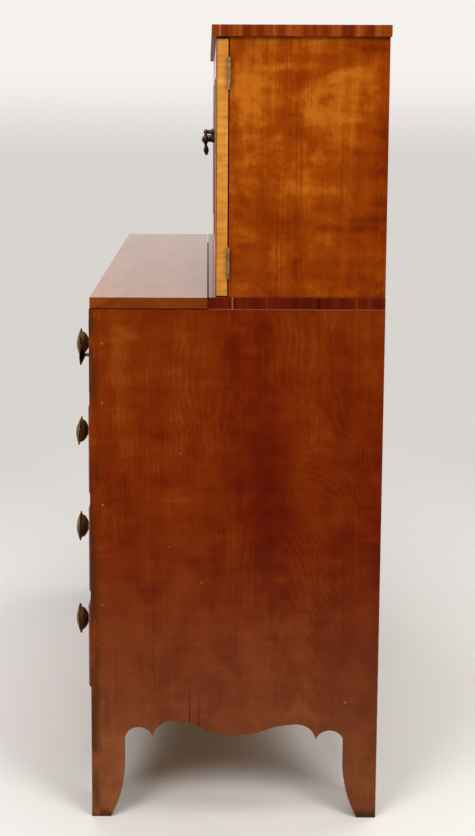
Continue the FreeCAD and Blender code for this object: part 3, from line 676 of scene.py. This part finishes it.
def iron():
    """Dark forged nails with a brown bloom."""
    metal = Finish("nail_iron", Metallic=0.7)
    clouds = metal.noise(metal.stretched((240.0, 240.0, 240.0)), 4.0, 0.6)
    rough = metal.between(clouds, 0.55, 0.8)
    return metal.connect(Base_Color=metal.ramp(clouds, IRON_TONES), Roughness=rough,
                         Normal=metal.relief(clouds, 0.0003))


FINISHES = {
    "lower_side": lower_side_wood(),
    "red_level": plain_wood("red_wood_level", RED_TONES, "X", 1.9, mottle=0.7, shine=0.06),
    "red_deep": plain_wood("red_wood_deep", RED_TONES, "Y", 2.6, mottle=0.7, shine=0.06),
    "bed": plain_wood("writing_bed_wood", FLAP_TONES, "X", 1.9, mottle=0.7, shine=0.06),
    "drawer": plain_wood("drawer_front_wood", DRAWER_TONES, "X", 0.4, gloss=DRAWER_GLOSS, mottle=0.85,
                         shine=0.05, varnish=0.2),
    "panel": plain_wood("door_panel_wood", DRAWER_TONES, "Z", 4.2, gloss=PANEL_GLOSS, mottle=0.95,
                        shine=0.05, varnish=0.2),
    "golden": golden_wood("golden_side_wood", "Z", 0.8),
    "top": crossbanded_wood("top_wood", BAND_TONES, FLAP_TONES, 2.2, [("Y", top_seam)]),
    # Along the base strips: a glue line at the joint, and a painted highlight along their lower edge
    "strip": crossbanded_wood("base_strip_wood", STRIP_TONES, STRIP_TONES, 7.3,
                              [("Y", base_seam), ("Z", base_foot)], polish=hand_polish),
    "flap": polished_flap_wood(),
    "maple_upright": curly_maple("curly_maple_upright", "Z"),
    "maple_level": curly_maple("curly_maple_level", "X", 1.4),
    "pale_level": bare_wood("pale_wood_level", PALE_TONES, "X"),
    "pale_deep": bare_wood("pale_wood_deep", PALE_TONES, "Y", 2.0),
    "pale_upright": bare_wood("pale_wood_upright", PALE_TONES, "Z", 3.0),
    "back": bare_wood("bracket_wood", BACK_TONES, "X", 6.0),
    "lower_back": back_wood("lower_back_wood", "lower_backboards", 3),
    "upper_back": back_wood("upper_back_wood", "upper_backboards", 2),
    "plug": bare_wood("plug_wood", PLUG_TONES, "X", 1.0),
    "peg": bare_wood("peg_wood", PEG_TONES, "Y", 1.0),
    "dark_brass": brass("dark_brass", DARK_BRASS, 0.40, (0.42, 0.6)),
    "pull_brass": brass("pull_brass", PULL_BRASS, 0.40, (0.32, 0.5)),
    "hinge_brass": brass("hinge_brass", HINGE_BRASS, 0.50, (0.34, 0.52)),
    "iron": iron(),
}
BRASSES = ("dark_brass", "pull_brass", "hinge_brass")

# Pieces of the frame under the finish that they have
FINISHED_WITH = {
    "lower_side": ["lower_side_left", "lower_side_right"],
    "red_level": ["front_skirt", "drawer_blades"],
    "red_deep": ["loper_left", "loper_right", "loper_partitions"],
    "bed": ["writing_bed"],
    "flap": ["writing_flap"],
    "strip": ["base_frame"],
    "golden": ["upper_side_left", "upper_side_right"],
    "top": ["upper_top", "top_front_band"],
    "pale_level": ["upper_bottom", "upper_shelf", "bottom_board", "drawer_stops"],
    "pale_deep": ["drawer_runners"],
    "pale_upright": ["foot_blocks"],
    "back": ["rear_brackets"],
    "upper_back": ["upper_backboards"],
    "lower_back": ["lower_backboards"],
    "hinge_brass": ["bed_hinge_leaves", "flap_hinge_leaves", "door_hinge_case_leaves"],
    "pull_brass": ["loper_knob_left", "loper_knob_right"],
}

# Parts of each drawer and each door, with their finish
DRAWER_FINISH = {
    "front": "drawer", "sides": "pale_deep", "back": "pale_level", "bottom": "pale_level",
    "brasses": "dark_brass",
}
DOOR_FINISH = {
    "stiles": "maple_upright", "rails": "maple_level", "panel": "panel", "hinge_leaves": "hinge_brass",
    "pull": "pull_brass", "bail": "pull_brass",
}


def soften(board):
    """Rounds the sharp edges of a board a little, as handling does."""
    weld = board.modifiers.new("weld", "WELD")
    weld.merge_threshold = weld_distance
    flats = board.modifiers.new("flats", "DECIMATE")
    flats.decimate_type = "DISSOLVE"
    flats.angle_limit = flat_angle
    bevel = board.modifiers.new("soft_edges", "BEVEL")
    bevel.width = board_softness
    bevel.segments = softness_steps
    bevel.limit_method = "ANGLE"
    bevel.angle_limit = sharp_angle
    board.modifiers.new("even_shading", "WEIGHTED_NORMAL")


def dress(name, finish):
    """Gives a piece of the frame its finish, and soft edges unless it is brass."""
    piece = nodes[name]
    piece.data.materials.clear()
    piece.data.materials.append(FINISHES[finish])
    if finish not in BRASSES:
        soften(piece)


for finish, names in FINISHED_WITH.items():
    for name in names:
        dress(name, finish)
for number in DRAWERS:
    for part, finish in DRAWER_FINISH.items():
        dress("drawer_%s_%s" % (number, part), finish)
for hand in HANDS:
    for part, finish in DOOR_FINISH.items():
        dress("door_%s_%s" % (hand, part), finish)


# Ways of shaping a piece

def activate(piece):
    """Selects a piece alone and makes it the active one."""
    bpy.ops.object.select_all(action="DESELECT")
    piece.select_set(True)
    bpy.context.view_layer.objects.active = piece


def settle(piece):
    """Puts a piece's place, turn and scale into its mesh."""
    activate(piece)
    bpy.ops.object.transform_apply(location=True, rotation=True, scale=True)


def select_faces(piece, wanted):
    """Goes into edit mode with the faces selected whose middle and normal pass the test."""
    activate(piece)
    bpy.ops.object.mode_set(mode="EDIT")
    bpy.ops.mesh.select_mode(type="FACE")
    bpy.ops.mesh.select_all(action="DESELECT")
    bpy.ops.object.mode_set(mode="OBJECT")
    for face in piece.data.polygons:
        face.select = wanted(face.center, face.normal)
    bpy.ops.object.mode_set(mode="EDIT")


def close_outwards():
    """Turns all faces of the piece in hand outwards and leaves edit mode."""
    bpy.ops.mesh.select_all(action="SELECT")
    bpy.ops.mesh.normals_make_consistent(inside=False)
    bpy.ops.object.mode_set(mode="OBJECT")


def round_stretch(middle, offset, radius, start, end, count):
    """Profile points round a centre, by degrees from the back, as (distance, radius)."""
    angles = [math.radians(start + (end - start) * step / (count - 1)) for step in range(count)]
    return [(middle - radius * math.cos(angle), offset + radius * math.sin(angle)) for angle in angles]


def disc(name, sides, radius, place, turn=(0, 0, 0)):
    """A flat disc, for the floor or to be grown into a round piece."""
    bpy.ops.object.select_all(action="DESELECT")
    bpy.ops.mesh.primitive_circle_add(vertices=sides, radius=radius, fill_type="NGON", location=place,
                                      rotation=turn)
    piece = bpy.context.object
    piece.name = name
    settle(piece)
    return piece


def turned(name, sides, steps):
    """A round piece grown from the origin towards the front. Each step is (distance, radius)."""
    start, radius = steps[0]
    piece = disc(name, sides, radius, (0, -start, 0), (math.pi / 2, 0, 0))
    bpy.ops.object.mode_set(mode="EDIT")
    for (before, old), (after, new) in zip(steps, steps[1:]):
        bpy.ops.mesh.extrude_region_move(TRANSFORM_OT_translate={"value": (0, before - after, 0)})
        bpy.ops.transform.resize(value=(new / old, 1, new / old), center_override=(0, -after, 0))
    close_outwards()
    return piece


def swept(name, sides, path):
    """A bar that follows a path in an upright plane, bowed a little to the front or back of it.

    Each point of the path is ((x, y, z), radius).
    """
    def heading(start, end):
        return math.atan2(end[2] - start[2], end[0] - start[0])

    place, radius = path[0]
    facing = heading(place, path[1][0])
    piece = disc(name, sides, radius, place, (0, math.pi / 2 - facing, 0))
    bpy.ops.object.mode_set(mode="EDIT")
    for index in range(1, len(path)):
        end, new_radius = path[index]
        after = path[min(index + 1, len(path) - 1)][0]
        move = tuple(b - a for a, b in zip(place, end))
        turn = math.remainder(heading(place, after) - facing, math.tau)
        bpy.ops.mesh.extrude_region_move(TRANSFORM_OT_translate={"value": move})
        bpy.ops.transform.rotate(value=turn, orient_axis="Y", center_override=end)
        ratio = new_radius / radius
        bpy.ops.transform.resize(value=(ratio, ratio, ratio), center_override=end)
        facing += turn
        place, radius = end, new_radius
    close_outwards()
    return piece


def solid_block(name, middle, size):
    """A rectangular block to shape further."""
    bpy.ops.object.select_all(action="DESELECT")
    bpy.ops.mesh.primitive_cube_add(size=1.0, location=middle, scale=size)
    piece = bpy.context.object
    piece.name = name
    settle(piece)
    return piece


def softened_block(name, middle, size, softness):
    """A rectangular block with all its edges rounded."""
    piece = solid_block(name, middle, size)
    bpy.ops.object.mode_set(mode="EDIT")
    bpy.ops.mesh.select_all(action="SELECT")
    bpy.ops.mesh.bevel(offset=softness, segments=softness_steps, affect="EDGES")
    bpy.ops.object.mode_set(mode="OBJECT")
    return piece


def combined(piece, other, operation):
    """Joins another solid to a piece, or cuts it away, and discards the other."""
    activate(piece)
    change = piece.modifiers.new("change", "BOOLEAN")
    change.operation = operation
    change.object = other
    bpy.ops.object.modifier_apply(modifier=change.name)
    bpy.data.objects.remove(other)


def copied(model, name, place, turn=0.0, size=1.0):
    """A copy of a modelled piece with its own mesh, turned about the upright and moved to its place."""
    piece = model.copy()
    piece.data = model.data.copy()
    piece.name = name
    bpy.context.scene.collection.objects.link(piece)
    piece.location = place
    piece.rotation_euler = (0.0, 0.0, turn)
    piece.scale = (size, size, size)
    settle(piece)
    return piece


def gathered(name, pieces):
    """Several pieces made into one."""
    bpy.ops.object.select_all(action="DESELECT")
    for piece in pieces:
        piece.select_set(True)
    bpy.context.view_layer.objects.active = pieces[0]
    bpy.ops.object.join()
    pieces[0].name = name
    pieces[0].data.name = name
    return pieces[0]


def complete_piece(piece, finish, body):
    """Gives a modelled piece its finish, its shading and the body that carries it."""
    activate(piece)
    bpy.ops.object.shade_smooth_by_angle(angle=smooth_angle)
    piece.data.materials.clear()
    piece.data.materials.append(FINISHES[finish])
    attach(piece, body)


# Frame under the upper case

def make_base_strips():
    """The front rail, the two side strips and the rear rail that the upper case stands on."""
    low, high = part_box("base_frame")
    inner = high.x - base_strip_width
    members = [
        ((low.x, high.x), (low.y, base_seam)),
        ((low.x, -inner), (base_seam, high.y)),
        ((inner, high.x), (base_seam, high.y)),
        ((-inner, inner), (high.y - base_strip_width, high.y)),
    ]
    pieces = []
    for spans in members:
        spans += ((low.z, high.z),)
        middle = [(start + end) / 2 for start, end in spans]
        size = [end - start for start, end in spans]
        pieces.append(softened_block("strip", middle, size, board_softness))
    strips = gathered("base_strips", pieces)
    complete_piece(strips, "strip", "case")
    strips.modifiers.new("even_shading", "WEIGHTED_NORMAL")
    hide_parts("base_frame")


# Drawer brasses

def knob_profile():
    """Base, neck, bowl, beaded rim, petal slope and domed boss, from the drawer front outwards."""
    base_core = knob_base_radius - knob_base_edge
    base_edge = round_stretch(knob_base_shoulder, base_core, knob_base_edge, 90, 180, 4)
    bowl = round_stretch(knob_bowl_centre, 0.0, knob_bowl_radius, 15, 47, 9)
    rim = round_stretch(knob_rim_middle, knob_rim_radius - knob_rim_bead, knob_rim_bead, 0, 180, 9)
    dome = round_stretch(knob_front - knob_dome_radius, 0.0, knob_dome_radius, 162.5, 179, 6)
    back = [(0.0, knob_base_radius)] + base_edge + KNOB_NECK + bowl + KNOB_LIP
    return back + rim + KNOB_GROOVE + KNOB_SLOPE + KNOB_BOSS + dome


def pressed_knob():
    """A round pressed knob with a ring of raised petals round its boss."""
    knob = turned("knob", knob_sides, knob_profile())

    def petal(middle, normal):
        radius = math.hypot(middle.x, middle.z)
        sector = math.floor(math.atan2(middle.z, middle.x) / math.tau * knob_sides)
        return normal.y < -0.5 and petal_inside < radius < petal_outside and sector % 2 == 0

    select_faces(knob, petal)
    bpy.ops.mesh.inset(thickness=petal_border, depth=petal_rise, use_individual=True)
    bpy.ops.object.mode_set(mode="OBJECT")
    return knob


def leaning(knob, degrees):
    """Tips a knob up or down at its neck, as hard pulling does. Its base stays flat on the drawer."""
    select_faces(knob, lambda middle, normal: middle.y < -knob_neck_end)
    bpy.ops.transform.rotate(value=math.radians(degrees), orient_axis="X",
                             center_override=(0, -knob_neck_end, 0))
    bpy.ops.object.mode_set(mode="OBJECT")


def square_nut():
    """The square nut behind a drawer front, with the end of the post standing out of it."""
    nut_size = (nut_width, nut_thickness, nut_width)
    nut = softened_block("nut", (0, nut_thickness / 2, 0), nut_size, nut_softness)
    stub_end = -nut_thickness - post_stub
    stub_steps = [(stub_end, post_tip_radius), (stub_end + post_tip, post_radius), (0.0, post_radius)]
    return gathered("nut", [nut, turned("stub", post_sides, stub_steps)])


def keyhole_plug(name, margin, depth):
    """A keyhole-shaped plug behind the origin: a round eye over a slot, with a margin all round."""
    eye = turned(name, keyhole_sides, [(-depth, keyhole_radius + margin), (0.0, keyhole_radius + margin)])
    drop = keyhole_drop + margin
    slot = solid_block("slot", (0, depth / 2, -drop / 2), (keyhole_slot_width + 2 * margin, depth, drop))
    combined(eye, slot, "UNION")
    return eye


def keyhole_ring():
    """The brass liner of a keyhole, let in flush with the drawer front."""
    liner = keyhole_plug("liner", keyhole_liner, keyhole_depth)
    hole = keyhole_plug("hole", 0.0, keyhole_depth * 3)
    hole.location.y = -keyhole_depth
    settle(hole)
    combined(liner, hole, "DIFFERENCE")
    return liner


def make_drawer_brasses():
    """Two knobs with their nuts and a keyhole liner on each drawer."""
    knob = pressed_knob()
    nut = square_nut()
    liner = keyhole_ring()
    for number in DRAWERS:
        low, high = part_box("drawer_%s_front" % number)
        middle = (low.z + high.z) / 2
        pieces = [copied(liner, "liner_copy", (0, low.y, high.z - keyhole_top_margin))]
        for sign in HANDS.values():
            knob_copy = copied(knob, "knob_copy", (0, 0, 0))
            if sign > 0 and number in KNOB_LEAN:
                leaning(knob_copy, KNOB_LEAN[number])
            knob_copy.location = (sign * knob_x, low.y, middle)
            settle(knob_copy)
            pieces.append(knob_copy)
            pieces.append(copied(nut, "nut_copy", (sign * knob_x, low.y + drawer_front_thickness, middle)))
        brasses = gathered("drawer_%s_handles" % number, pieces)
        complete_piece(brasses, "dark_brass", "drawer_" + number)
        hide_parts("drawer_%s_brasses" % number)
    for model in (knob, nut, liner):
        bpy.data.objects.remove(model)


# Door pulls

def pull_plate():
    """The oval plate of a pull, with a rounded edge and a high dome inside a groove."""
    radius = pull_plate_half_width
    edge = round_stretch(pull_plate_shoulder, radius - pull_plate_edge, pull_plate_edge, 90, 180, 4)
    groove = [(distance, radius - inset) for distance, inset in PLATE_GROOVE]
    dome = round_stretch(pull_dome_front - pull_dome_radius, 0.0, pull_dome_radius, 148, 179, 9)
    plate = turned("plate", pull_plate_sides, [(0.0, radius)] + edge + groove + dome)
    plate.scale.z = pull_plate_half_height / radius
    plate.location.z = -pull_plate_drop
    settle(plate)
    return plate


def pull_post(reach):
    """A turned post: coned foot, ringed neck, and the ball that the bail's pin goes into."""
    ball = round_stretch(reach, 0.0, pull_ball_radius, 42, 177, 10)
    return turned("post", pull_post_sides, POST_FOOT + POST_RING + ball)


def pull_boss():
    """The turned boss in the middle of the plate, which the bail hangs round."""
    bulb = round_stretch(pull_bulb_middle, pull_bulb_core, pull_bulb_radius, 55, 176, 10)
    return turned("boss", pull_post_sides, BOSS_NECK + bulb)


def quarter_turn(steps):
    """Angles from nothing to a right angle, in equal steps."""
    return [math.radians(90 * step / steps) for step in range(steps + 1)]


def bail_path():
    """The hanging bail from pin to pin: elbows, lobed arms and a swelled grip that leans in to the door."""
    half = [((bail_pin_start, 0, 0), bail_pin_radius)]
    for angle in quarter_turn(bail_elbow_steps):
        x = bail_half_width - bail_elbow * (1 - math.sin(angle))
        half.append(((x, 0, -bail_elbow * (1 - math.cos(angle))), bail_arm_radius))
    for step in range(1, bail_arm_steps + 1):
        lobe = math.sin(math.pi * step / bail_arm_steps) ** 2
        z = -bail_elbow - bail_arm_length * step / bail_arm_steps
        half.append(((bail_half_width, -bail_lobe_bow * lobe, z), bail_arm_radius + bail_lobe * lobe))
    for angle in quarter_turn(bail_grip_steps)[1:]:
        x = bail_half_width * math.cos(angle)
        z = -bail_elbow - bail_arm_length - bail_grip_drop * math.sin(angle)
        lobe = max(math.sin(bail_corner_rate * angle), 0.0) ** 3
        radius = bail_arm_radius + bail_grip_swell * math.sin(angle) + bail_corner_lobe * lobe
        half.append(((max(x, 0.0), bail_grip_lean * math.sin(angle), z), radius))
    return [((-x, y, z), radius) for (x, y, z), radius in half[:-1]] + half[::-1]


def make_door_pulls():
    """An oval plate with two posts, and the bail that hangs from them, on each door."""
    bail = swept("bail", bail_sides, bail_path())
    boss = pull_boss()
    for hand in HANDS:
        plate_low, plate_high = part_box("door_%s_pull" % hand)
        bail_low, bail_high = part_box("door_%s_bail" % hand)
        middle = (plate_low.x + plate_high.x) / 2
        pivot_y = (bail_low.y + bail_high.y) / 2
        pivot_z = plate_high.z - pull_plate_half_height + pull_plate_drop
        post = pull_post(door_front - pivot_y)
        pieces = [pull_plate(), copied(boss, "boss_copy", (0, 0, -pull_boss_drop))]
        for side in (-0.5, 0.5):
            pieces.append(copied(post, "post_copy", (side * pull_post_spacing, 0, 0)))
        bpy.data.objects.remove(post)
        pull = gathered("door_pull_" + hand, pieces)
        pull.location = (middle, door_front, pivot_z)
        settle(pull)
        complete_piece(pull, "pull_brass", "door_" + hand)
        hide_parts("door_%s_pull" % hand)
        hanging = copied(bail, "door_bail_" + hand, (middle, pivot_y, pivot_z))
        complete_piece(hanging, "pull_brass", "bail_" + hand)
        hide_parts("door_%s_bail" % hand)
    for model in (bail, boss):
        bpy.data.objects.remove(model)


# Plugs, pegs and nails

def round_peg(name, sides, radius, crown):
    """A peg whose end stands out of the wood by a hair. The crown is its tip's share of the radius."""
    return turned(name, sides, [(-peg_sunk, radius), (peg_shoulder, radius), (peg_proud, radius * crown)])


def make_side_plugs():
    """Small wooden plugs over the nails through the lower sides."""
    model = round_peg("plug", plug_sides, plug_radius, plug_crown)
    for hand, sign in HANDS.items():
        plugs = []
        for distance, height, size in PLUGS:
            place = (sign * side_face, case_front + distance, height)
            plugs.append(copied(model, "plug_copy", place, sign * math.pi / 2, size))
        complete_piece(gathered("side_plugs_" + hand, plugs), "plug", "case")
    bpy.data.objects.remove(model)


def make_door_pegs():
    """Two pegs through each corner joint of the doors."""
    model = round_peg("peg", peg_sides, peg_radius, peg_crown)
    for hand in HANDS:
        frame_low, frame_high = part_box("door_%s_stiles" % hand)
        panel_low, panel_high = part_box("door_%s_panel" % hand)
        pegs = []
        for x in (panel_low.x - peg_from_panel, panel_high.x + peg_from_panel):
            for corner in ((frame_low.z + panel_low.z) / 2, (frame_high.z + panel_high.z) / 2):
                for z in (corner - peg_spread / 2, corner + peg_spread / 2):
                    pegs.append(copied(model, "peg_copy", (x, frame_low.y, z)))
        complete_piece(gathered("door_pegs_" + hand, pegs), "peg", "door_" + hand)
    bpy.data.objects.remove(model)


def make_back_nails():
    """Rose-headed nails down both ends of the backboards."""
    model = turned("nail", nail_sides, [(distance, nail_radius * share) for distance, share in NAIL_HEAD])
    for level in ("lower", "upper"):
        low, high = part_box(level + "_backboards")
        rows = round((high.z - low.z) / nail_spacing)
        nails = []
        for row in range(rows):
            z = low.z + (row + 0.5) * (high.z - low.z) / rows
            for x in (low.x + nail_edge_distance, high.x - nail_edge_distance):
                nails.append(copied(model, "nail_copy", (x, high.y, z), math.pi))
        complete_piece(gathered(level + "_back_nails", nails), "iron", "case")
    bpy.data.objects.remove(model)


make_base_strips()
make_drawer_brasses()
make_door_pulls()
make_side_plugs()
make_door_pegs()
make_back_nails()


# Stage

def make_floor():
    """A pale floor that fades into the backdrop colour away from the chest."""
    floor = disc("floor", floor_sides, floor_radius, (0, 0, 0))
    paper = Finish("floor_paper", Base_Color=FLOOR_PAPER, Roughness=0.7, Specular_IOR_Level=0.2)
    x, y, _ = paper.axes(paper.place)
    distance = paper.calc("SQRT", paper.calc("MULTIPLY_ADD", x, x, paper.calc("MULTIPLY", y, y)))
    far = paper.add("ShaderNodeEmission", {"Color": BACKDROP_LOW, "Strength": 1.0}).outputs[0]
    paper.end_with(paper.fade(distance, *floor_fade), paper.shader.outputs[0], far, "Material Output")
    floor.data.materials.append(paper.material)


def make_world():
    """Even soft light, with a pale backdrop where the camera and reflections look past the chest."""
    world = bpy.data.worlds.new("studio")
    world.use_nodes = True
    bpy.context.scene.world = world
    sky = Nodes(world.node_tree)
    light = sky.tree.nodes["Background"]
    light.inputs["Color"].default_value = LIGHT_COLOUR
    light.inputs["Strength"].default_value = light_strength
    _, _, height = sky.axes(sky.add("ShaderNodeTexCoord", {}).outputs["Generated"])
    colour = sky.covered(BACKDROP_LOW, sky.fade(height, *backdrop_rise), BACKDROP_HIGH)
    backdrop = sky.add("ShaderNodeBackground", {"Color": colour}).outputs[0]
    rays = sky.add("ShaderNodeLightPath", {}).outputs
    seen = rays["Is Camera Ray"]
    for ray in ("Is Glossy Ray", "Is Transmission Ray"):
        seen = sky.calc("MAXIMUM", seen, rays[ray])
    sky.end_with(seen, light.outputs[0], backdrop, "World Output")


def softbox(name, place, size, power):
    """A square soft lamp aimed at the middle of the chest."""
    data = bpy.data.lights.new(name, "AREA")
    data.size = size
    data.energy = power
    lamp = bpy.data.objects.new(name, data)
    bpy.context.scene.collection.objects.link(lamp)
    lamp.location = place
    lamp.rotation_euler = (Vector(lamp_target) - Vector(place)).to_track_quat("-Z", "Y").to_euler()


def make_camera():
    """The photograph's viewpoint: square on to the right-hand end, above the writing flap."""
    data = bpy.data.cameras.new("camera")
    data.lens = camera_lens
    data.shift_x = camera_shift_x
    data.shift_y = camera_shift_y
    camera = bpy.data.objects.new("camera", data)
    camera.location = camera_place
    camera.rotation_euler = [math.radians(degrees) for degrees in camera_turn]
    bpy.context.scene.collection.objects.link(camera)
    bpy.context.scene.camera = camera


make_floor()
make_world()
for lamp_values in LAMPS:
    softbox(*lamp_values)
make_camera()
bpy.context.scene.view_settings.view_transform = "Standard"
